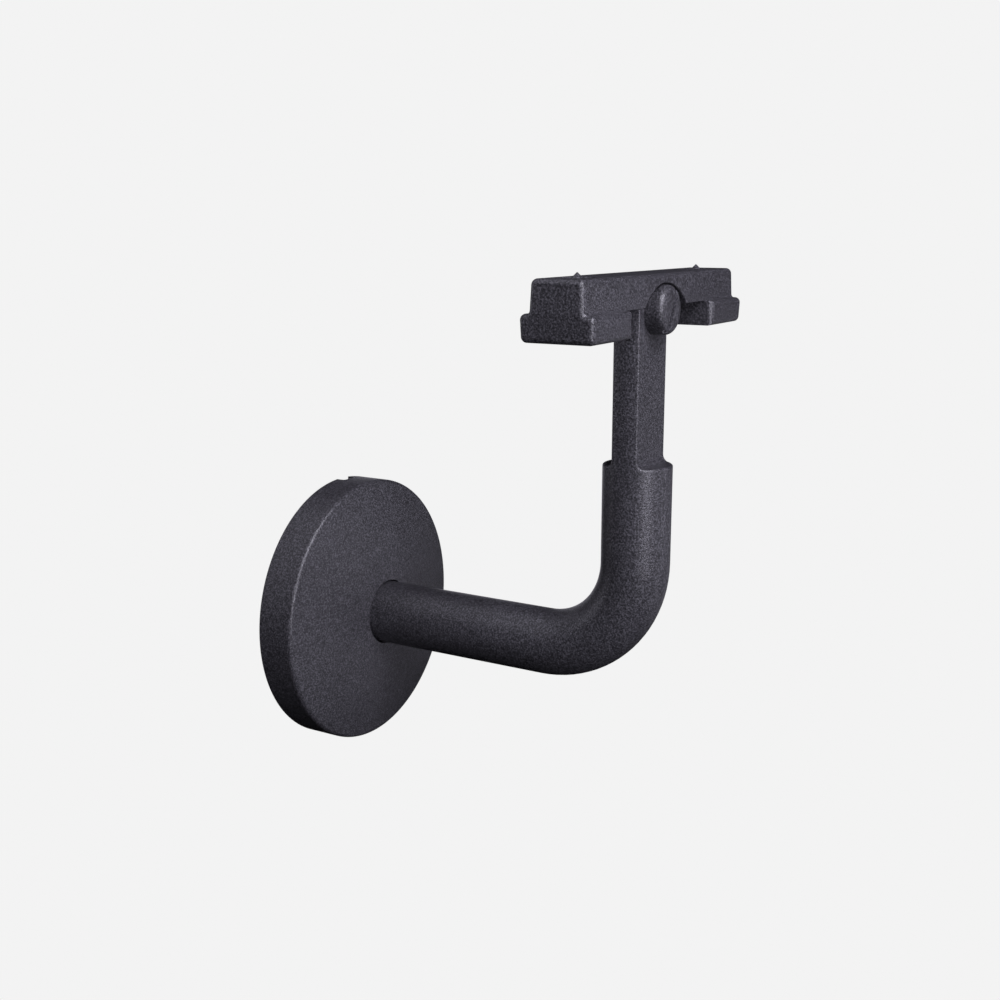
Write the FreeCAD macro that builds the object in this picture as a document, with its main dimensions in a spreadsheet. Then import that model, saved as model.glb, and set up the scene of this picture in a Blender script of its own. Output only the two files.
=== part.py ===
# Handrail wall bracket: bent bar with a tilting T-section head, on a covered wall plate.
# Frame: origin on the wall face at the bar's axis, -Y out of the wall, +Z up, X along the rail.
import FreeCAD, Part
import math
import os
import Sketcher
from FreeCAD import Vector

os.makedirs("parts", exist_ok=True)
doc = FreeCAD.newDocument("HandrailBracket")

# ---------------------------------------------------------------- driving dimensions
SIZES = [
    # bar
    ("bar_radius", 7.0, "round bar, 14 mm"),
    ("reach", 74.2, "wall face to the upright's axis"),
    ("bend_radius", 20.1, "bend, to the bar's centreline"),
    ("ledge_z", 40.3, "height where the milled flats begin"),
    ("ledge_fillet", 1.3, "cutter radius at the foot of the flats"),
    ("flat_edge", 0.4, "edges of the flats and of the ledge, rounded"),
    ("flat_half", 2.75, "half thickness of the post between its flats"),
    ("pivot_z", 70.85, "height of the tilt axis"),
    ("shoulder_rise", 0.3, "fork shoulders above the tilt axis"),
    ("fork_end_radius", 5.75, "round end of each fork cheek"),
    ("fork_gap_half", 1.05, "half width of the fork's slot"),
    ("fork_floor_z", 65.25, "floor of the fork's slot"),
    ("pivot_bore_radius", 3.05, "bore in fork and web"),
    # wall plate
    ("plate_radius", 28.0, "wall plate"),
    ("plate_depth", 5.0, "wall plate thickness"),
    ("plate_edge", 0.6, "edge break of the plate"),
    ("screw_circle_radius", 20.0, "wall screw circle, 40 mm across"),
    ("wall_screw_diameter", 5.5, "wall screw hole"),
    ("wall_screw_sink", 10.5, "countersink diameter"),
    ("weld_radial", 2.4, "weld bead on the plate"),
    ("weld_axial", 2.0, "weld bead along the bar"),
    # cover rosette
    ("cover_radius", 30.0, "rosette, 60 mm across"),
    ("cover_depth", 8.3, "rosette depth at its edge"),
    ("cover_dome_radius", 102.0, "rosette front, a shallow dome"),
    ("cover_skirt", 1.25, "rosette skirt wall"),
    ("cover_front", 1.5, "rosette front wall"),
    ("cover_edge", 1.0, "front edge radius"),
    ("cover_hole_radius", 7.35, "hole for the bar"),
    ("notch_left", 1.6, "pry notch, to -X of the top"),
    ("notch_right", 2.4, "pry notch, to +X of the top"),
    ("notch_depth", 2.1, "pry notch, into the rim"),
    ("notch_corner", 0.7, "pry notch corner radius"),
    # head
    ("head_half_length", 35.25, "head, half its length at the step"),
    ("step_z", 71.7, "top of the lugs and underside of the upper block"),
    ("head_top_z", 77.8, "top of the upper block"),
    ("lug_bottom_z", 66.6, "underside of the lugs"),
    ("block_half_width", 5.45, "upper block at the step"),
    ("lug_half_width", 7.42, "lugs at the step"),
    ("draft_angle", 2.35, "casting draft"),
    ("head_stock_half", 37.0, "half length before the ends are cut"),
    ("crease", 0.6, "fillet where the block meets the lugs"),
    ("top_edge", 1.2, "upper block, top edges"),
    ("lug_top_edge", 1.1, "lugs, top edges"),
    ("bottom_edge", 1.1, "lugs, bottom edges"),
    ("end_edge", 1.05, "edges of both end faces"),
    ("lug_inner_corner", 1.6, "lugs, upright edges beside the post"),
    ("arch_edge", 0.35, "edges of the arch"),
    ("lug_inner_x", 19.1, "inner ends of the lugs"),
    ("arch_radius", 13.3, "arch over the post"),
    ("arch_centre_z", 62.65, "arch centre"),
    ("slot_half", 2.85, "half width of the head's slot for the fork"),
    ("slot_half_length", 8.1, "half length of that slot"),
    ("slot_ceiling_rise", 5.0, "slot ceiling beside the tilt axis, above it"),
    ("slot_round_radius", 5.85, "slot round the fork's end"),
    ("web_half", 1.0, "half thickness of the web"),
    ("web_half_length", 10.5, "half length of the web in the block"),
    ("web_round_radius", 5.4, "web round the tilt axis"),
    ("web_top_z", 77.0, "web runs into the block's roof"),
    ("set_screw_x", 27.2, "set screws from the middle"),
    ("set_hole_radius", 3.05, "tapped holes"),
    ("set_hole_chamfer", 0.4, "tapped holes, lead-in"),
    # set screws
    ("set_screw_radius", 3.0, "set screw, 6 mm"),
    ("set_screw_tip_z", 78.7, "cone tip"),
    ("set_screw_length", 10.0, "set screw length"),
    ("set_screw_blunt", 0.08, "flat on the cone tip"),
    ("set_socket_across", 3.0, "hexagon socket across flats"),
    ("set_socket_depth", 3.0, "hexagon socket depth"),
    # pivot screw and its sleeve nut
    ("pivot_head_radius", 4.8, "screw and nut heads"),
    ("pivot_head_depth", 4.0, "screw and nut heads"),
    ("pivot_head_round", 1.6, "rounding of both heads"),
    ("pivot_slot_half", 0.65, "half width of the driver slot"),
    ("pivot_slot_depth", 1.2, "driver slot"),
    ("pivot_slot_angle", 63.0, "driver slot, from +X towards +Z"),
    ("shank_radius", 1.95, "screw shank"),
    ("shank_length", 6.4, "screw shank"),
    ("shank_chamfer", 0.4, "screw shank end"),
    ("sleeve_radius", 3.0, "sleeve that the web turns on"),
    ("sleeve_length", 5.3, "sleeve"),
    ("sleeve_bore_radius", 2.0, "tapped bore of the sleeve"),
    ("sleeve_bore_blind", 1.6, "tapped bore, past the nut's seat"),
]

sheet = doc.addObject("Spreadsheet::Sheet", "Dimensions")
for row, (alias, value, note) in enumerate(SIZES, start=1):
    sheet.set(f"A{row}", alias)
    sheet.set(f"B{row}", str(value))
    sheet.set(f"C{row}", note)
    sheet.setAlias(f"B{row}", alias)
doc.recompute()


class Dim:
    """A length with its value and its formula on the sheet."""

    def __init__(self, value, text=None):
        self.value = float(value)
        self.text = text if text is not None else repr(float(value))

    @staticmethod
    def of(other):
        return other if isinstance(other, Dim) else Dim(other)

    def __add__(self, other):
        other = Dim.of(other)
        return Dim(self.value + other.value, f"({self.text} + {other.text})")

    def __radd__(self, other):
        return Dim.of(other) + self

    def __sub__(self, other):
        other = Dim.of(other)
        return Dim(self.value - other.value, f"({self.text} - {other.text})")

    def __rsub__(self, other):
        return Dim.of(other) - self

    def __mul__(self, other):
        other = Dim.of(other)
        return Dim(self.value * other.value, f"({self.text} * {other.text})")

    def __rmul__(self, other):
        return Dim.of(other) * self

    def __neg__(self):
        return Dim(-self.value, f"(0 - {self.text})")


def root(d):
    return Dim(math.sqrt(d.value), f"sqrt({d.text})")


S = {alias: Dim(value, f"Dimensions.{alias}") for alias, value, note in SIZES}


# ---------------------------------------------------------------- helpers
def new_body(label):
    body = doc.addObject("PartDesign::Body", label)
    body.Label = label
    return body


def new_sketch(body, role, name, lift=None):
    plane = [o for o in body.Origin.OriginFeatures if o.Role == role][0]
    sketch = body.newObject("Sketcher::SketchObject", name)
    sketch.AttachmentSupport = [(plane, "")]
    sketch.MapMode = "FlatFace"
    if lift is not None:
        sketch.setExpression("AttachmentOffset.Base.z", lift.text)
    return sketch


def pin_point(sketch, geo, pos, x, y):
    """Fixes one point of the sketch to coordinates from the sheet."""
    for kind, axis, value in (("DistanceX", -2, x), ("DistanceY", -1, y)):
        value = Dim.of(value)
        if value.value == 0.0:
            sketch.addConstraint(Sketcher.Constraint("PointOnObject", geo, pos, axis))
            continue
        index = sketch.addConstraint(Sketcher.Constraint(kind, geo, pos, value.value))
        if "Dimensions" in value.text:
            name = f"c{index}"
            sketch.renameConstraint(index, name)
            sketch.setExpression("Constraints." + name, value.text)


def pin_radius(sketch, geo, radius):
    radius = Dim.of(radius)
    index = sketch.addConstraint(Sketcher.Constraint("Radius", geo, radius.value))
    name = f"c{index}"
    sketch.renameConstraint(index, name)
    sketch.setExpression("Constraints." + name, radius.text)


def draw(sketch, points, arcs=None, closed=True):
    """Draws a chain of lines through points. arcs[i] = (radius, centre x, centre y, ccw)
    makes the stretch from point i to the next one an arc."""
    arcs = arcs or {}
    points = [(Dim.of(x), Dim.of(y)) for x, y in points]
    count = len(points) if closed else len(points) - 1
    ends = []
    for i in range(count):
        (x0, y0), (x1, y1) = points[i], points[(i + 1) % len(points)]
        if i in arcs:
            radius, cx, cy, ccw = arcs[i]
            radius, cx, cy = Dim.of(radius), Dim.of(cx), Dim.of(cy)
            a0 = math.atan2(y0.value - cy.value, x0.value - cx.value)
            a1 = math.atan2(y1.value - cy.value, x1.value - cx.value)
            if not ccw:
                a0, a1 = a1, a0
            if a1 <= a0:
                a1 += 2 * math.pi
            circle = Part.Circle(Vector(cx.value, cy.value, 0), Vector(0, 0, 1), radius.value)
            geo = sketch.addGeometry(Part.ArcOfCircle(circle, a0, a1), False)
            ends.append((geo, 1, 2) if ccw else (geo, 2, 1))
        else:
            geo = sketch.addGeometry(
                Part.LineSegment(Vector(x0.value, y0.value, 0), Vector(x1.value, y1.value, 0)), False)
            ends.append((geo, 1, 2))
    for i in range(count if closed else count - 1):
        a, b = ends[i], ends[(i + 1) % count]
        sketch.addConstraint(Sketcher.Constraint("Coincident", a[0], a[2], b[0], b[1]))
    for i in range(count):
        pin_point(sketch, ends[i][0], ends[i][1], *points[i])
        if i in arcs:
            pin_radius(sketch, ends[i][0], arcs[i][0])
    if not closed:
        pin_point(sketch, ends[-1][0], ends[-1][2], *points[-1])


def draw_circle(sketch, x, y, radius):
    x, y, radius = Dim.of(x), Dim.of(y), Dim.of(radius)
    geo = sketch.addGeometry(
        Part.Circle(Vector(x.value, y.value, 0), Vector(0, 0, 1), radius.value), False)
    pin_point(sketch, geo, 3, x, y)
    pin_radius(sketch, geo, radius)


def rounded_box(sketch, half_x, half_y, corner):
    """Rectangle about the sketch's origin with four corner radii."""
    ix, iy = half_x - corner, half_y - corner
    draw(sketch,
         [(-ix, -half_y), (ix, -half_y), (half_x, -iy), (half_x, iy),
          (ix, half_y), (-ix, half_y), (-half_x, iy), (-half_x, -iy)],
         {1: (corner, ix, -iy, True), 3: (corner, ix, iy, True),
          5: (corner, -ix, iy, True), 7: (corner, -ix, -iy, True)})


def cut_through(body, sketch, name):
    cut = body.newObject("PartDesign::Pocket", name)
    cut.Profile = sketch
    cut.SideType = "Symmetric"
    cut.Type = "ThroughAll"
    return cut


def edges_where(feature, test):
    doc.recompute()
    names = []
    for i, edge in enumerate(feature.Shape.Edges, start=1):
        if test(edge.BoundBox, edge):
            names.append(f"Edge{i}")
    return names


def revolve(body, sketch, name, axis):
    turn = body.newObject("PartDesign::Revolution", name)
    turn.Profile = sketch
    turn.ReferenceAxis = (sketch, [axis])
    turn.Angle = 360.0
    return turn


# ---------------------------------------------------------------- arm
# One round bar: straight out of the wall, quarter bend, upright with two flats and a fork.
arm = new_body("arm")
bar_section = new_sketch(arm, "XZ_Plane", "bar_section")
draw_circle(bar_section, 0, 0, S["bar_radius"])
bar_line = new_sketch(arm, "YZ_Plane", "bar_line")
bend_y = S["bend_radius"] - S["reach"]
bar_top = S["pivot_z"] + S["fork_end_radius"] + 1.0
draw(bar_line,
     [(0, 0), (bend_y, 0), (-S["reach"], S["bend_radius"]), (-S["reach"], bar_top)],
     {1: (S["bend_radius"], bend_y, S["bend_radius"], False)}, closed=False)
doc.recompute()
bar = arm.newObject("PartDesign::AdditivePipe", "bar")
bar.Profile = bar_section
bar.Spine = (bar_line, [])
doc.recompute()

# milled flats, front and back, with the cutter's radius at the ledge
flats = new_sketch(arm, "YZ_Plane", "flats")
for side in (-1, 1):
    near = side * S["flat_half"] - S["reach"]
    foot = side * (S["flat_half"] + S["ledge_fillet"]) - S["reach"]
    out = side * (S["bar_radius"] + 2.0) - S["reach"]
    rise = S["ledge_z"] + S["ledge_fillet"]
    draw(flats,
         [(near, bar_top + 1.0), (near, rise), (foot, S["ledge_z"]), (out, S["ledge_z"]), (out, bar_top + 1.0)],
         {1: (S["ledge_fillet"], foot, rise, side > 0)})
flats_cut = cut_through(arm, flats, "flats_cut")
doc.recompute()


def on_bar(point):
    return abs(math.hypot(point.x, point.y + S["reach"].value) - S["bar_radius"].value) < 0.01


flats_round = arm.newObject("PartDesign::Fillet", "flats_round")
flats_round.Base = (flats_cut, edges_where(
    flats_cut, lambda box, edge: box.ZMin > S["ledge_z"].value - 0.01 and box.ZMin < bar_top.value - 0.1
    and all(on_bar(v.Point) for v in edge.Vertexes)))
flats_round.setExpression("Radius", S["flat_edge"].text)
doc.recompute()

# rounded fork end: shoulders, then an arc about the tilt axis
fork_end = new_sketch(arm, "XZ_Plane", "fork_end")
shoulder = S["pivot_z"] + S["shoulder_rise"]
shoulder_x = root(S["fork_end_radius"] * S["fork_end_radius"] - S["shoulder_rise"] * S["shoulder_rise"])
clear_x = S["bar_radius"] + 2.0
draw(fork_end,
     [(-clear_x, shoulder), (-shoulder_x, shoulder), (shoulder_x, shoulder),
      (clear_x, shoulder), (clear_x, bar_top + 2.0), (-clear_x, bar_top + 2.0)],
     {1: (S["fork_end_radius"], 0, S["pivot_z"], False)})
cut_through(arm, fork_end, "fork_end_cut")
doc.recompute()

fork_gap = new_sketch(arm, "YZ_Plane", "fork_gap")
draw(fork_gap,
     [(-S["fork_gap_half"] - S["reach"], S["fork_floor_z"]),
      (S["fork_gap_half"] - S["reach"], S["fork_floor_z"]),
      (S["fork_gap_half"] - S["reach"], bar_top + 2.0),
      (-S["fork_gap_half"] - S["reach"], bar_top + 2.0)])
cut_through(arm, fork_gap, "fork_gap_cut")
doc.recompute()

fork_bore = new_sketch(arm, "XZ_Plane", "fork_bore")
draw_circle(fork_bore, 0, S["pivot_z"], S["pivot_bore_radius"])
cut_through(arm, fork_bore, "fork_bore_cut")
doc.recompute()

# ---------------------------------------------------------------- wall plate
# Round plate, countersunk for three wall screws, with the weld bead round the bar.
wall_plate = new_body("wall_plate")
plate_outline = new_sketch(wall_plate, "XZ_Plane", "plate_outline")
draw_circle(plate_outline, 0, 0, S["plate_radius"])
draw_circle(plate_outline, 0, 0, S["bar_radius"])
plate = wall_plate.newObject("PartDesign::Pad", "plate")
plate.Profile = plate_outline
plate.setExpression("Length", S["plate_depth"].text)
doc.recompute()
plate_rim = wall_plate.newObject("PartDesign::Chamfer", "plate_rim")
plate_rim.Base = (plate, edges_where(
    plate, lambda box, edge: box.XLength > 2 * S["plate_radius"].value - 1 and box.YMax < -1))
plate_rim.setExpression("Size", S["plate_edge"].text)
doc.recompute()

bead = new_sketch(wall_plate, "YZ_Plane", "bead")
bead_out = S["bar_radius"] + S["weld_radial"]
bead_up = -S["plate_depth"] - S["weld_axial"]
draw(bead,
     [(-S["plate_depth"] + 0.5, S["bar_radius"]), (-S["plate_depth"] + 0.5, bead_out),
      (-S["plate_depth"], bead_out), (-S["plate_depth"] - 0.55, bead_out - 0.75),
      (bead_up + 0.45, S["bar_radius"] + 0.65), (bead_up, S["bar_radius"])])
bead_ring = revolve(wall_plate, bead, "bead_ring", "H_Axis")
doc.recompute()

screw_holes = new_sketch(wall_plate, "XZ_Plane", "screw_holes", S["plate_depth"])
for turn in (90, 210, 330):
    c, s = math.cos(math.radians(turn)), math.sin(math.radians(turn))
    cx = Dim(0) if abs(c) < 1e-9 else S["screw_circle_radius"] * c
    draw_circle(screw_holes, cx, S["screw_circle_radius"] * s, S["wall_screw_diameter"] * 0.5)
doc.recompute()
sunk = wall_plate.newObject("PartDesign::Hole", "sunk_holes")
sunk.Profile = screw_holes
doc.recompute()
sunk.DepthType = "ThroughAll"
sunk.HoleCutType = "Countersink"
sunk.HoleCutCustomValues = True
sunk.setExpression("Diameter", S["wall_screw_diameter"].text)
sunk.setExpression("HoleCutDiameter", S["wall_screw_sink"].text)
sunk.HoleCutCountersinkAngle = 90.0
doc.recompute()

# ---------------------------------------------------------------- cover rosette
# Pressed cup with a rolled front edge; it slides on the bar to reach the wall screws.
cover = new_body("cover_rosette")
cup = new_sketch(cover, "YZ_Plane", "cup")
dome, dome_in = S["cover_dome_radius"], S["cover_dome_radius"] - S["cover_front"]
skirt, skirt_in, hole = S["cover_radius"], S["cover_radius"] - S["cover_skirt"], S["cover_hole_radius"]
dome_y = root(dome * dome - skirt * skirt) - S["cover_depth"]
draw(cup,
     [(0, skirt_in), (0, skirt), (-S["cover_depth"], skirt),
      (dome_y - root(dome * dome - hole * hole), hole),
      (dome_y - root(dome_in * dome_in - hole * hole), hole),
      (dome_y - root(dome_in * dome_in - skirt_in * skirt_in), skirt_in)],
     {2: (dome, dome_y, 0, True), 4: (dome_in, dome_y, 0, False)})
cup_turn = revolve(cover, cup, "cup_turn", "H_Axis")
doc.recompute()
cup_edge = cover.newObject("PartDesign::Fillet", "cup_edge")
cup_edge.Base = (cup_turn, edges_where(
    cup_turn, lambda box, edge: abs(box.YMin + S["cover_depth"].value) < 0.01 and box.YLength < 0.01
    and box.XLength > 2 * skirt.value - 0.1))
cup_edge.setExpression("Radius", S["cover_edge"].text)
doc.recompute()
notch = new_sketch(cover, "XY_Plane", "notch")
nl, nr, nd, nc = S["notch_left"], S["notch_right"], S["notch_depth"], S["notch_corner"]
draw(notch,
     [(-nl, 1.0), (-nl, nc - nd), (nc - nl, -nd), (nr - nc, -nd), (nr, nc - nd), (nr, 1.0)],
     {1: (nc, nc - nl, nc - nd, True), 3: (nc, nr - nc, nc - nd, True)})
notch_cut = cover.newObject("PartDesign::Pocket", "notch_cut")
notch_cut.Profile = notch
notch_cut.Type = "ThroughAll"
notch_cut.Reversed = True
doc.recompute()
assert notch_cut.Shape.Volume < cup_edge.Shape.Volume - 5, "the notch cuts nothing"

# ---------------------------------------------------------------- head
# Casting: narrow block above, two wider lugs below its ends, drafted away from the step.
head = new_body("head")
head.setExpression("Placement.Base.y", (-S["reach"]).text)
# tangent of the draft angle, as a rise of 1 mm over a run
draft = Dim(math.tan(math.radians(S["draft_angle"].value)), "tan(Dimensions.draft_angle * 1deg)")
stock = S["head_stock_half"]
block_top = S["block_half_width"] - (S["head_top_z"] - S["step_z"]) * draft
lug_foot = S["lug_half_width"] - (S["step_z"] - S["lug_bottom_z"]) * draft
block_section = new_sketch(head, "YZ_Plane", "block_section")
draw(block_section,
     [(-S["block_half_width"], S["step_z"]), (S["block_half_width"], S["step_z"]),
      (block_top, S["head_top_z"]), (-block_top, S["head_top_z"])])
block = head.newObject("PartDesign::Pad", "block")
block.Profile = block_section
block.SideType = "Symmetric"
block.setExpression("Length", (2 * stock).text)
doc.recompute()

# lugs below the ends of the block, blended into its sides
crease = S["crease"]
lean = math.radians(S["draft_angle"].value)
crease_out = S["block_half_width"] + crease * Dim(math.tan(math.pi / 4 - lean / 2),
                                                  "tan(45deg - Dimensions.draft_angle * 0.5deg)")
crease_in = crease_out - crease * Dim(math.cos(lean), "cos(Dimensions.draft_angle * 1deg)")
crease_z = S["step_z"] + crease - crease * Dim(math.sin(lean), "sin(Dimensions.draft_angle * 1deg)")
for side in (1, -1):
    section = new_sketch(head, "YZ_Plane", "lug_section" + ("_right" if side > 0 else "_left"), side * S["lug_inner_x"])
    draw(section,
         [(-lug_foot, S["lug_bottom_z"]), (lug_foot, S["lug_bottom_z"]), (S["lug_half_width"], S["step_z"]),
          (crease_out, S["step_z"]), (crease_in, crease_z), (-crease_in, crease_z),
          (-crease_out, S["step_z"]), (-S["lug_half_width"], S["step_z"])],
         {3: (crease, crease_out, S["step_z"] + crease, False),
          5: (crease, -crease_out, S["step_z"] + crease, False)})
    lug = head.newObject("PartDesign::Pad", "lug" + ("_right" if side > 0 else "_left"))
    lug.Profile = section
    lug.Reversed = side < 0
    lug.setExpression("Length", (stock - S["lug_inner_x"]).text)
    doc.recompute()


def round_edges(base, name, radius, test):
    fillet = head.newObject("PartDesign::Fillet", name)
    fillet.Base = (base, edges_where(base, test))
    fillet.setExpression("Radius", radius.text)
    doc.recompute()
    return fillet


top_round = round_edges(lug, "top_round", S["top_edge"],
                        lambda box, edge: box.XLength > 50 and box.ZMin > S["head_top_z"].value - 0.01)
lug_top_round = round_edges(top_round, "lug_top_round", S["lug_top_edge"],
                            lambda box, edge: box.XLength > 10 and abs(box.ZMax - S["step_z"].value) < 0.01
                            and box.ZLength < 0.01 and abs(box.Center.y) > 7)
bottom_round = round_edges(lug_top_round, "bottom_round", S["bottom_edge"],
                           lambda box, edge: box.XLength > 10 and abs(box.ZMin - S["lug_bottom_z"].value) < 0.01
                           and box.ZLength < 0.01 and abs(box.Center.y) > 7)

# end faces, drafted both ways from the step
ends = new_sketch(head, "XZ_Plane", "ends")
half = S["head_half_length"]
end_top = half - (S["head_top_z"] + 1.0 - S["step_z"]) * draft
end_foot = half - (S["step_z"] - S["lug_bottom_z"] + 1.0) * draft
for side in (1, -1):
    draw(ends,
         [(side * end_foot, S["lug_bottom_z"] - 1.0), (side * half, S["step_z"]),
          (side * end_top, S["head_top_z"] + 1.0), (side * (stock + 3.0), S["head_top_z"] + 1.0),
          (side * (stock + 3.0), S["lug_bottom_z"] - 1.0)])
ends_cut = cut_through(head, ends, "ends_cut")
doc.recompute()
end_round = ends_cut
for side, name in ((1, "end_round_right"), (-1, "end_round_left")):
    end_round = round_edges(end_round, name, S["end_edge"],
                            lambda box, edge: side * box.Center.x > half.value - 0.8)
    assert end_round.isValid(), name

# rounded upright corners at the inner ends of the lugs
corners = new_sketch(head, "XY_Plane", "corners", S["lug_bottom_z"] - 1.0)
lx, lw, lr = S["lug_inner_x"], S["lug_half_width"], S["lug_inner_corner"]
for sx in (1, -1):
    for sy in (1, -1):
        draw(corners,
             [(sx * (lx - 1.0), sy * (lw - lr)), (sx * lx, sy * (lw - lr)), (sx * (lx + lr), sy * lw),
              (sx * (lx + lr), sy * (lw + 2.0)), (sx * (lx - 1.0), sy * (lw + 2.0))],
             {1: (lr, sx * (lx + lr), sy * (lw - lr), sx * sy < 0)})
corners_cut = head.newObject("PartDesign::Pocket", "corners_cut")
corners_cut.Profile = corners
corners_cut.Type = "ThroughAll"
corners_cut.Reversed = True
doc.recompute()
assert corners_cut.Shape.Volume < end_round.Shape.Volume - 3, "the corners cut nothing"

# arch through both cheeks, over the pivot heads
arch = new_sketch(head, "XZ_Plane", "arch")
draw_circle(arch, 0, S["arch_centre_z"], S["arch_radius"])
arch_cut = cut_through(head, arch, "arch_cut")
doc.recompute()
arch_round = round_edges(arch_cut, "arch_round", S["arch_edge"],
                         lambda box, edge: box.XLength > 18 and box.XLength < 21 and box.ZLength > 3)

# slot for the two fork cheeks
fork_slot = new_sketch(head, "XZ_Plane", "fork_slot")
sl, sr = S["slot_half_length"], S["slot_round_radius"]
ceiling = S["pivot_z"] + S["slot_ceiling_rise"]
round_x = root(sr * sr - S["slot_ceiling_rise"] * S["slot_ceiling_rise"])
draw(fork_slot,
     [(-sl, S["step_z"] - 1.0), (sl, S["step_z"] - 1.0), (sl, ceiling), (round_x, ceiling),
      (-round_x, ceiling), (-sl, ceiling)],
     {3: (sr, 0, S["pivot_z"], True)})
fork_slot_cut = head.newObject("PartDesign::Pocket", "fork_slot_cut")
fork_slot_cut.Profile = fork_slot
fork_slot_cut.SideType = "Symmetric"
fork_slot_cut.setExpression("Length", (2 * S["slot_half"]).text)
doc.recompute()

# web that turns in the fork, on the sleeve
web = new_sketch(head, "XZ_Plane", "web")
wl, wr = S["web_half_length"], S["web_round_radius"]
web_rise = S["step_z"] - S["pivot_z"]
web_x = root(wr * wr - web_rise * web_rise)
draw(web,
     [(-wl, S["step_z"]), (-web_x, S["step_z"]), (web_x, S["step_z"]), (wl, S["step_z"]),
      (wl, S["web_top_z"]), (-wl, S["web_top_z"])],
     {1: (wr, 0, S["pivot_z"], True)})
web_pad = head.newObject("PartDesign::Pad", "web_pad")
web_pad.Profile = web
web_pad.SideType = "Symmetric"
web_pad.setExpression("Length", (2 * S["web_half"]).text)
doc.recompute()
web_bore = new_sketch(head, "XZ_Plane", "web_bore")
draw_circle(web_bore, 0, S["pivot_z"], S["pivot_bore_radius"])
cut_through(head, web_bore, "web_bore_cut")
doc.recompute()

# tapped holes for the set screws, with a lead-in at both mouths
set_holes = new_sketch(head, "XY_Plane", "set_holes")
for side in (-1, 1):
    draw_circle(set_holes, side * S["set_screw_x"], 0, S["set_hole_radius"])
set_holes_cut = cut_through(head, set_holes, "set_holes_cut")
doc.recompute()
lead_in = head.newObject("PartDesign::Chamfer", "lead_in")
lead_in.Base = (set_holes_cut, edges_where(
    set_holes_cut, lambda box, edge: box.ZLength < 0.01 and abs(box.XLength - 2 * S["set_hole_radius"].value) < 0.02
    and abs(abs(box.Center.x) - S["set_screw_x"].value) < 0.02))
lead_in.setExpression("Size", S["set_hole_chamfer"].text)
doc.recompute()


# ---------------------------------------------------------------- pivot screw and sleeve nut
# Both are turned; their own Z is the tilt axis, with Z = 0 where the head seats on the post.
def head_round(r, deep, c):
    return [(r, 0), (r, deep - c), (r - c, deep), (0, deep)], {1: (c, r - c, deep - c, True)}


def driver_slot(body, name):
    slot = new_sketch(body, "XY_Plane", name, S["pivot_head_depth"])
    half = S["pivot_head_radius"] + 1.0
    w = S["pivot_slot_half"]
    draw(slot, [(-half, -w), (half, -w), (half, w), (-half, w)])
    slot.setExpression("AttachmentOffset.Rotation.Angle", S["pivot_slot_angle"].text)
    cut = body.newObject("PartDesign::Pocket", name + "_cut")
    cut.Profile = slot
    cut.setExpression("Length", S["pivot_slot_depth"].text)
    return cut


def seat(body, side, turn):
    body.Placement = FreeCAD.Placement(Vector(0, 0, 0), FreeCAD.Rotation(Vector(1, 0, 0), turn))
    body.setExpression("Placement.Base.y", (side * S["flat_half"] - S["reach"]).text)
    body.setExpression("Placement.Base.z", S["pivot_z"].text)


pr, pd, pc = S["pivot_head_radius"], S["pivot_head_depth"], S["pivot_head_round"]
pivot_screw = new_body("pivot_screw")
screw_half = new_sketch(pivot_screw, "XZ_Plane", "screw_half")
kr, kl, kc = S["shank_radius"], S["shank_length"], S["shank_chamfer"]
draw(screw_half,
     [(0, -kl), (kr - kc, -kl), (kr, kc - kl), (kr, 0), (pr, 0), (pr, pd - pc), (pr - pc, pd), (0, pd)],
     {5: (pc, pr - pc, pd - pc, True)})
screw_turn = revolve(pivot_screw, screw_half, "screw_turn", "V_Axis")
doc.recompute()
screw_slot = driver_slot(pivot_screw, "screw_slot")
doc.recompute()
assert screw_slot.Shape.Volume < screw_turn.Shape.Volume - 5, "the driver slot cuts nothing"
seat(pivot_screw, -1, 90)

pivot_nut = new_body("pivot_sleeve_nut")
nut_half = new_sketch(pivot_nut, "XZ_Plane", "nut_half")
vr, vl, vb, vd = S["sleeve_radius"], S["sleeve_length"], S["sleeve_bore_radius"], S["sleeve_bore_blind"]
draw(nut_half,
     [(vb, -vl), (vr, -vl), (vr, 0), (pr, 0), (pr, pd - pc), (pr - pc, pd), (0, pd), (0, vd), (vb, vd)],
     {4: (pc, pr - pc, pd - pc, True)})
nut_turn = revolve(pivot_nut, nut_half, "nut_turn", "V_Axis")
doc.recompute()
driver_slot(pivot_nut, "nut_slot")
doc.recompute()
seat(pivot_nut, 1, -90)
doc.recompute()

# ---------------------------------------------------------------- set screws
# Socket set screws with cone points, driven up from below; a mirrored pair.
one_screw = new_body("set_screw")
cone_half = new_sketch(one_screw, "XZ_Plane", "cone_half")
qr, ql, qb = S["set_screw_radius"], S["set_screw_length"], S["set_screw_blunt"]
draw(cone_half,
     [(0, -ql), (qr - 0.5, -ql), (qr, 0.5 - ql), (qr, qb - qr), (qb, 0), (0, 0)])
cone_turn = revolve(one_screw, cone_half, "cone_turn", "V_Axis")
doc.recompute()
socket = new_sketch(one_screw, "XY_Plane", "socket", -ql)
across = S["set_socket_across"] * (1 / math.sqrt(3))
draw(socket, [(across * math.cos(math.radians(a)) if a not in (90, 270) else Dim(0),
               across * math.sin(math.radians(a))) for a in (30, 90, 150, 210, 270, 330)])
socket_cut = one_screw.newObject("PartDesign::Pocket", "socket_cut")
socket_cut.Profile = socket
socket_cut.Reversed = True
socket_cut.setExpression("Length", S["set_socket_depth"].text)
doc.recompute()
assert socket_cut.Shape.Volume < cone_turn.Shape.Volume - 5, "the socket cuts nothing"
one_screw.setExpression("Placement.Base.x", S["set_screw_x"].text)
one_screw.setExpression("Placement.Base.y", (-S["reach"]).text)
one_screw.setExpression("Placement.Base.z", S["set_screw_tip_z"].text)
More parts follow.
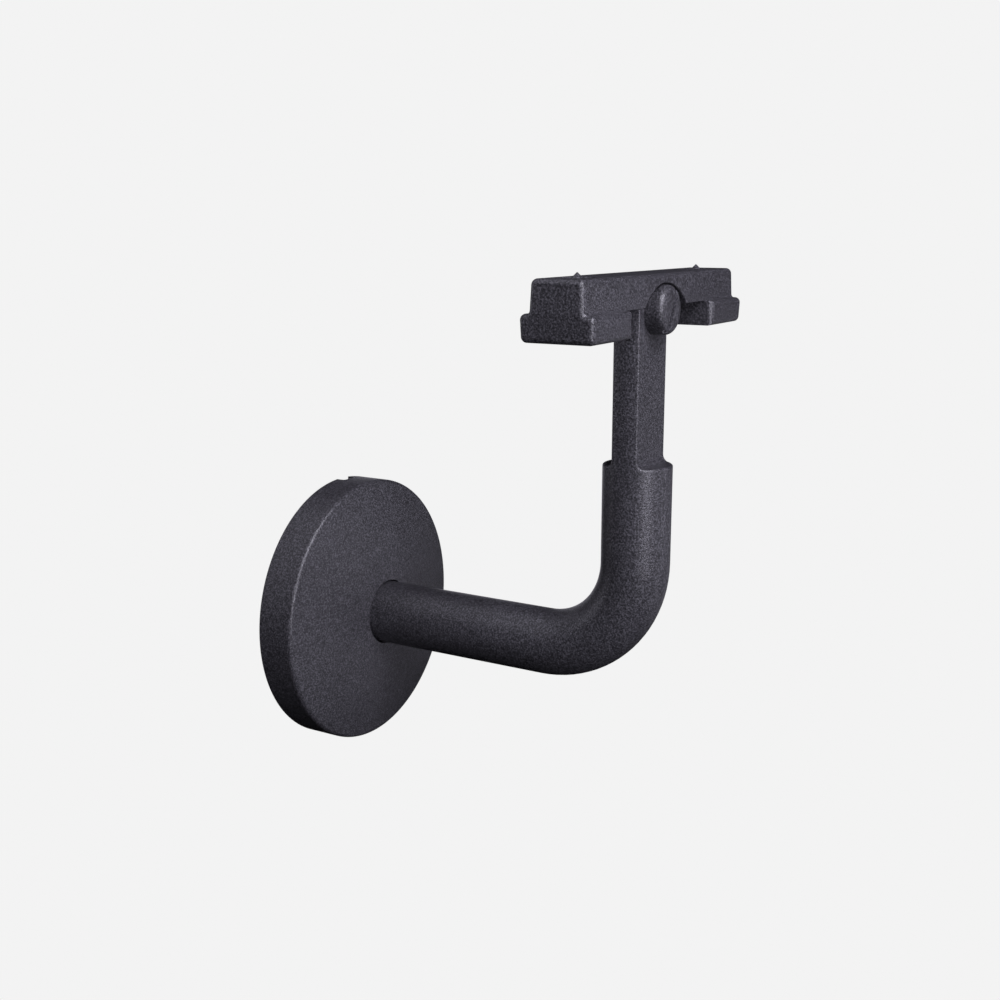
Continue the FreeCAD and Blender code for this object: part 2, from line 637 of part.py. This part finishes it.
doc.recompute()
other_screw = doc.addObject("Part::Mirroring", "other_set_screw")
other_screw.Source = one_screw
other_screw.Normal = Vector(1, 0, 0)
other_screw.Base = Vector(0, 0, 0)
set_screws = doc.addObject("Part::Compound", "set_screws")
set_screws.Links = [one_screw, other_screw]
set_screws.Label = "set_screws"
doc.recompute()

# ---------------------------------------------------------------- check and write
for obj in doc.Objects:
    bad = [state for state in obj.State if state in ("Invalid", "Error")]
    if bad:
        raise RuntimeError(f"{obj.Name}: {bad}")
    if obj.TypeId == "Sketcher::SketchObject" and not obj.FullyConstrained:
        raise RuntimeError(f"{obj.Name}: sketch isn't fully constrained")

for item, solids in ((arm, 1), (wall_plate, 1), (cover, 1), (head, 1), (pivot_screw, 1), (pivot_nut, 1), (set_screws, 2)):
    shape = item.Shape
    if shape.isNull() or not shape.isValid() or len(shape.Solids) != solids:
        raise RuntimeError(f"{item.Label}: bad shape, {len(shape.Solids)} solids")
    box = shape.BoundBox
    print(f"{item.Label:18s} volume {shape.Volume:9.1f}  "
          f"x {box.XMin:7.2f} {box.XMax:7.2f}  y {box.YMin:7.2f} {box.YMax:7.2f}  z {box.ZMin:7.2f} {box.ZMax:7.2f}")
    shape.exportStep(f"parts/{item.Label}.step")
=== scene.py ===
import math
import bpy
from mathutils import Matrix, Vector


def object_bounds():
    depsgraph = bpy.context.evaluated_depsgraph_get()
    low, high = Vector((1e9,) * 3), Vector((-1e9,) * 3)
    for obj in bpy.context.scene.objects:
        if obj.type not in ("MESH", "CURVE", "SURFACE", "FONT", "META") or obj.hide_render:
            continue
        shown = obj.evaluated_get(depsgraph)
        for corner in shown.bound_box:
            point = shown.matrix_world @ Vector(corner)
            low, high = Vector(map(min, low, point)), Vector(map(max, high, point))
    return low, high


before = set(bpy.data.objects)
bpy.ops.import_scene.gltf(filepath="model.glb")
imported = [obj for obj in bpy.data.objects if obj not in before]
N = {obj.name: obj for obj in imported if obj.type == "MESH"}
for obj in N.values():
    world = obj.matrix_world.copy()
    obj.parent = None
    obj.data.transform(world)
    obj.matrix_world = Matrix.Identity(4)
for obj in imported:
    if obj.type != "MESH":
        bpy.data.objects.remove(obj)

CAD_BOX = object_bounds()
scene = bpy.context.scene
scene.view_settings.view_transform = "Standard"
scene.view_settings.look = "None"
scene.view_settings.exposure = 0.0
scene.view_settings.gamma = 1.0

PALE = 0.896


# ------------------------------------------------------------------ node helpers
def new_material(name):
    m = bpy.data.materials.new(name)
    m.use_nodes = True
    nt = m.node_tree
    nt.nodes.clear()
    out = nt.nodes.new("ShaderNodeOutputMaterial")
    return m, nt, out


def node(nt, kind, **sets):
    n = nt.nodes.new(kind)
    for k, v in sets.items():
        if k.startswith("in_"):
            key = k[3:]
            n.inputs[int(key) if key.isdigit() else key].default_value = v
        else:
            setattr(n, k, v)
    return n


def ramp(nt, stops, fac, interp="LINEAR"):
    r = nt.nodes.new("ShaderNodeValToRGB")
    r.color_ramp.interpolation = interp
    els = r.color_ramp.elements
    while len(els) > 1:
        els.remove(els[-1])
    els[0].position, els[0].color = stops[0][0], (*stops[0][1], 1.0)
    for p, c in stops[1:]:
        e = els.new(p)
        e.color = (*c, 1.0)
    nt.links.new(fac, r.inputs["Fac"])
    return r


def powder_coat(name, seed):
    """Matt, fine-textured graphite powder coat: orange peel and grains; a fleck texture is made but not used."""
    m, nt, out = new_material(name)
    L = nt.links.new
    bsdf = node(nt, "ShaderNodeBsdfPrincipled")
    bsdf.inputs["Roughness"].default_value = 0.5
    bsdf.inputs["Specular IOR Level"].default_value = 0.5
    tc = node(nt, "ShaderNodeTexCoord")
    mp = node(nt, "ShaderNodeMapping")
    mp.inputs["Location"].default_value = (seed * 0.13, seed * 0.07, seed * 0.19)
    L(tc.outputs["Object"], mp.inputs["Vector"])
    grain = node(nt, "ShaderNodeTexNoise", in_Scale=2700.0, in_Detail=2.0, in_Roughness=0.6)
    fleck = node(nt, "ShaderNodeTexVoronoi", in_Scale=2600.0)
    peel = node(nt, "ShaderNodeTexNoise", in_Scale=900.0, in_Detail=2.0, in_Roughness=0.5)
    cloud = node(nt, "ShaderNodeTexNoise", in_Scale=45.0, in_Detail=3.0, in_Roughness=0.55)
    for t in (grain, fleck, peel, cloud):
        L(mp.outputs["Vector"], t.inputs["Vector"])
    base = ramp(nt, [(0.34, (0.020, 0.0195, 0.0215)), (0.50, (0.046, 0.045, 0.0495)), (0.66, (0.104, 0.102, 0.112))],
                grain.outputs["Fac"])
    tone = ramp(nt, [(0.3, (0.90, 0.90, 0.90)), (0.7, (1.08, 1.08, 1.08))], cloud.outputs["Fac"])
    mix = node(nt, "ShaderNodeMix", data_type="RGBA", blend_type="MULTIPLY")
    mix.inputs["Factor"].default_value = 1.0
    L(base.outputs["Color"], mix.inputs["A"])
    L(tone.outputs["Color"], mix.inputs["B"])
    L(mix.outputs["Result"], bsdf.inputs["Base Color"])
    rough = node(nt, "ShaderNodeMapRange")
    rough.inputs["To Min"].default_value = 0.29
    rough.inputs["To Max"].default_value = 0.41
    L(grain.outputs["Fac"], rough.inputs["Value"])
    L(rough.outputs["Result"], bsdf.inputs["Roughness"])
    h1 = node(nt, "ShaderNodeBump")
    h1.inputs["Strength"].default_value = 0.40
    h1.inputs["Distance"].default_value = 0.00012
    L(peel.outputs["Fac"], h1.inputs["Height"])
    h2 = node(nt, "ShaderNodeBump")
    h2.inputs["Strength"].default_value = 0.80
    h2.inputs["Distance"].default_value = 0.00010
    L(grain.outputs["Fac"], h2.inputs["Height"])
    L(h1.outputs["Normal"], h2.inputs["Normal"])
    L(h2.outputs["Normal"], bsdf.inputs["Normal"])
    L(bsdf.outputs["BSDF"], out.inputs["Surface"])
    return m


def soften(node_name, width, segments=2, angle=28.0):
    """Small rounds on the remaining sharp edges, as the coat leaves them."""
    o = N[node_name]
    for p in o.data.polygons:
        p.use_smooth = True
    j = o.modifiers.new("join", "WELD")
    j.merge_threshold = 0.000004
    b = o.modifiers.new("soft_edges", "BEVEL")
    b.width = width
    b.segments = segments
    b.limit_method = "ANGLE"
    b.angle_limit = math.radians(angle)
    b.use_clamp_overlap = True
    b.miter_outer = "MITER_ARC"
    b.harden_normals = True
    w = o.modifiers.new("weighted", "WEIGHTED_NORMAL")
    w.keep_sharp = True
    w.weight = 60


def put(node_name, mat):
    o = N[node_name]
    if not o.material_slots:
        o.data.materials.append(mat)
    for s in o.material_slots:
        s.material = mat


for i, n in enumerate(("arm", "wall_plate", "cover_rosette", "head", "pivot_screw", "pivot_sleeve_nut", "set_screws")):
    put(n, powder_coat(n + "_coat", i + 1))


soften("arm", 0.00030)
soften("wall_plate", 0.00025)
soften("head", 0.00030)
soften("pivot_screw", 0.00018)
soften("pivot_sleeve_nut", 0.00018)
soften("set_screws", 0.00012)


# ------------------------------------------------------------------ stage
def emission(name, value):
    m, nt, out = new_material(name)
    e = node(nt, "ShaderNodeEmission", in_Strength=1.0)
    e.inputs["Color"].default_value = (value, value, value, 1.0)
    nt.links.new(e.outputs["Emission"], out.inputs["Surface"])
    return m


me = bpy.data.meshes.new("floor")
r, z = 4.0, CAD_BOX[0].z - 0.09
me.from_pydata([(-r, -r, z), (r, -r, z), (r, r, z), (-r, r, z)], [], [(0, 1, 2, 3)])
floor = bpy.data.objects.new("floor", me)
scene.collection.objects.link(floor)
me.materials.append(emission("pale_floor", PALE))
floor.visible_diffuse = False
floor.visible_glossy = False
floor.visible_shadow = False

world = bpy.data.worlds.new("studio")
scene.world = world
world.use_nodes = True
world.node_tree.nodes["Background"].inputs["Color"].default_value = (PALE, PALE, PALE, 1.0)
world.node_tree.nodes["Background"].inputs["Strength"].default_value = 1.0
world.cycles_visibility.diffuse = False
world.cycles_visibility.glossy = False


# ------------------------------------------------------------------ lights
CENTRE = Vector((0.0, -0.042, 0.035))


def softbox(name, direction, distance, size, power, target=CENTRE, size_y=None):
    d = Vector(direction).normalized()
    data = bpy.data.lights.new(name, "AREA")
    data.shape = "RECTANGLE" if size_y else "SQUARE"
    data.size = size
    if size_y:
        data.size_y = size_y
    data.energy = power
    data.color = (1.0, 0.975, 1.12)
    o = bpy.data.objects.new(name, data)
    scene.collection.objects.link(o)
    o.location = target + d * distance
    o.rotation_mode = "QUATERNION"
    o.rotation_quaternion = (-d).to_track_quat("-Z", "Y")
    o.visible_camera = False
    return o


LIGHTS = (
    ("high_front_left", (-0.30, -0.60, 0.74), 0.50, 0.22, 1.20),
    ("high_key", (-0.13, -0.59, 0.79), 0.50, 0.09, 0.55),
    ("key_front_left", (-0.457, -0.867, 0.02), 0.45, 0.09, 0.32),
    ("front_right", (0.588, -0.809, 0.0), 0.50, 0.22, 0.12),
    ("front_left", (-0.588, -0.809, 0.0), 0.45, 0.22, 0.26),
    ("upper_left", (-0.532, -0.682, 0.502), 0.45, 0.20, 0.28),
    ("left", (-0.82, -0.55, 0.15), 0.50, 0.20, 0.03),
    ("low_right", (0.532, -0.682, -0.502), 0.50, 0.22, 0.04),
    ("front_left_above", (-0.447, -0.851, 0.276), 0.50, 0.22, 0.34),
    ("low_front", (0.138, -0.951, -0.276), 0.50, 0.22, 0.06),
    ("upper_front", (-0.263, -0.809, 0.526), 0.50, 0.22, 0.38),
    ("back_left", (-0.610, 0.443, 0.658), 0.50, 0.22, 0.16),
    ("back_low_left", (-0.35, 0.93, 0.08), 0.50, 0.14, 0.20),
    ("side_right", (0.947, -0.162, -0.276), 0.50, 0.22, 0.03),
    ("low_front_right", (0.263, -0.809, -0.526), 0.50, 0.22, 0.02),
    ("low_side_right", (0.813, -0.295, -0.502), 0.50, 0.22, 0.02),
    ("top_back", (-0.138, 0.425, 0.894), 0.50, 0.22, 0.14),
    ("rear_high", (0.05, 0.93, 0.36), 0.50, 0.25, 0.12),
    ("rear_low", (0.20, 0.90, -0.38), 0.50, 0.25, 0.14),
    ("rear_right", (0.75, 0.65, -0.10), 0.50, 0.25, 0.10),
)
for name, direction, distance, size, power in LIGHTS:
    softbox(name, direction, distance, size, power)

# ------------------------------------------------------------------ camera
cam_data = bpy.data.cameras.new("camera")
cam_data.sensor_width = 36.0
cam_data.lens = 46.065
cam_data.clip_start = 0.01
cam_data.clip_end = 50.0
cam = bpy.data.objects.new("camera", cam_data)
scene.collection.objects.link(cam)
yaw, pitch = math.radians(30.709), math.radians(12.112)
ahead = Vector((math.cos(yaw) * math.cos(pitch), math.sin(yaw) * math.cos(pitch), -math.sin(pitch)))
cam.location = Vector((-0.22953, -0.17866, 0.08670))
cam.rotation_mode = "QUATERNION"
cam.rotation_quaternion = ahead.to_track_quat("-Z", "Y")
scene.camera = cam
